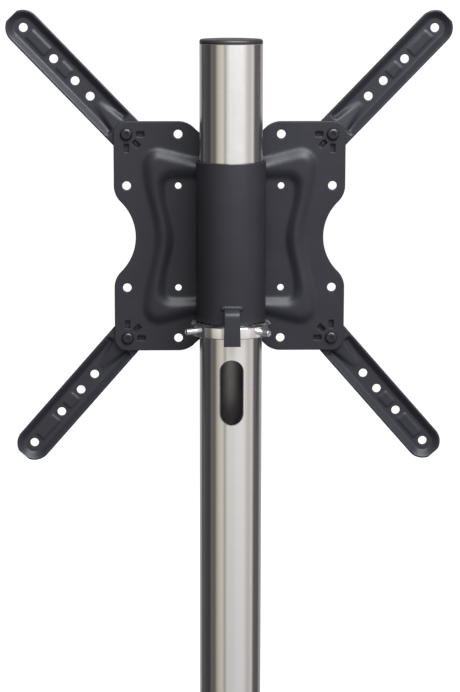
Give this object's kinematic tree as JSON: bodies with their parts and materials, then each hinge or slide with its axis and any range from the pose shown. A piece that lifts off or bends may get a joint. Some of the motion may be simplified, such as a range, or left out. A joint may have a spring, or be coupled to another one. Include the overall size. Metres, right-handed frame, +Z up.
{
  "type": "television floor stand with mount",
  "caption": "Television floor stand: round steel pole on a weighted round base, clamped collar and swivelling mount plate with folding channel arms.",
  "frame": {"origin": "on the floor, on the axis of the pole, under the middle of the base", "axes": "+Z up along the pole, +Y towards the television, +X to the right when the rear of the mount is seen"},
  "size_m": [0.4999, 0.5, 1.5237],
  "materials": {
    "black_coat": "satin black powder coat",
    "polished_steel": "polished stainless steel",
    "chrome": "bright chrome plate",
    "zinc_steel": "zinc plated",
    "black_steel": "blackened screw steel",
    "black_plastic": "fine matt moulding",
    "liner_plastic": "smooth black nylon",
    "shim_plastic": "smooth nylon",
    "rubber": "matt rubber"
  },
  "bodies": {
    "stand": {"base_plate": "black_coat", "base_feet": "rubber", "base_screws": "zinc_steel", "pole_plug": "zinc_steel", "base_cover": "polished_steel", "pole": "polished_steel", "pole_cap": "black_plastic"},
    "collar": {"collar": "chrome"},
    "clamp_left": {"clamp_screw_left": "chrome"},
    "clamp_right": {"clamp_screw_right": "chrome"},
    "mount": {"sleeve": "black_coat", "liner_upper": "liner_plastic", "liner_lower": "liner_plastic", "swivel_washer": "liner_plastic", "stop_tab": "black_coat", "sleeve_welds": "black_coat", "mount_plate": "black_coat", "pivot_screws": "black_steel", "pivot_shims": "shim_plastic", "pivot_washers": "zinc_steel", "pivot_nuts": "zinc_steel"},
    "arm_upper_left": {"arm_upper_left": "black_coat"},
    "arm_upper_right": {"arm_upper_right": "black_coat"},
    "arm_lower_left": {"arm_lower_left": "black_coat"},
    "arm_lower_right": {"arm_lower_right": "black_coat"}
  },
  "joints": [
    {"name": "height_slide", "type": "slide", "parent": "stand", "child": "collar", "axis": [0, 0, 1], "range_m": [-0.55, 0.1]},
    {"name": "swivel", "type": "hinge", "parent": "collar", "child": "mount", "pos_m": [0, 0, 1.305], "axis": [0, 0, 1], "range_deg": [-45.5, 30.5]},
    {"name": "clamp_left", "type": "slide", "parent": "collar", "child": "clamp_left", "axis": [-0.866, -0.5, 0], "range_m": [0, 0.004]},
    {"name": "clamp_right", "type": "slide", "parent": "collar", "child": "clamp_right", "axis": [0.7071, -0.7071, 0], "range_m": [0, 0.004]},
    {"name": "arm_upper_left_pivot", "type": "hinge", "parent": "mount", "child": "arm_upper_left", "pos_m": [-0.1, 0.0458, 1.405], "axis": [0, -1, 0], "range_deg": [-44, 46]},
    {"name": "arm_upper_right_pivot", "type": "hinge", "parent": "mount", "child": "arm_upper_right", "pos_m": [0.1, 0.0458, 1.405], "axis": [0, 1, 0], "range_deg": [-44, 46]},
    {"name": "arm_lower_left_pivot", "type": "hinge", "parent": "mount", "child": "arm_lower_left", "pos_m": [-0.1, 0.0458, 1.205], "axis": [0, 1, 0], "range_deg": [-41.2, 48.8]},
    {"name": "arm_lower_right_pivot", "type": "hinge", "parent": "mount", "child": "arm_lower_right", "pos_m": [0.1, 0.0458, 1.205], "axis": [0, -1, 0], "range_deg": [-41.2, 48.8]}
  ]
}
